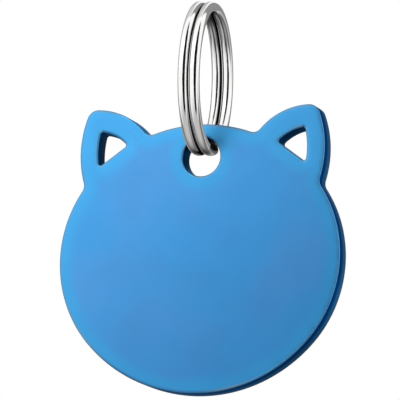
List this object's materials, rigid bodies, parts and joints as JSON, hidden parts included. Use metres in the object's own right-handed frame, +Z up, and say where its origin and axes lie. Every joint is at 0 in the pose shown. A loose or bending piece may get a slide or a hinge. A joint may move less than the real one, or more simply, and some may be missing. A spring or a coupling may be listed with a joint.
{
  "type": "pet id tag",
  "caption": "Flat cat-head id tag with two windowed ears and a hole near its crown, hanging on a split ring of spring wire for a pet's collar.",
  "frame": {"origin": "the inner top of the split ring, where the collar's own ring bears, with the tag hanging straight down", "axes": "+Z up, against the pull of the hanging tag; the tag's front looks along -Y; +X to the right as seen from the front"},
  "size_m": [0.0284, 0.0152, 0.0386],
  "materials": {
    "anodised_blue": "satin anodised blue on both faces, darker on the walls",
    "nickel_wire": "bright nickel plate on spring steel wire"
  },
  "bodies": {
    "ring": {"split_ring": "nickel_wire"},
    "tag": {"tag_plate": "anodised_blue"}
  },
  "joints": [
    {"name": "tag_swing", "type": "hinge", "parent": "ring", "child": "tag", "pos_m": [0, 0, -0.01428], "axis": [0, 1, 0], "range_deg": [-105, 105]}
  ]
}
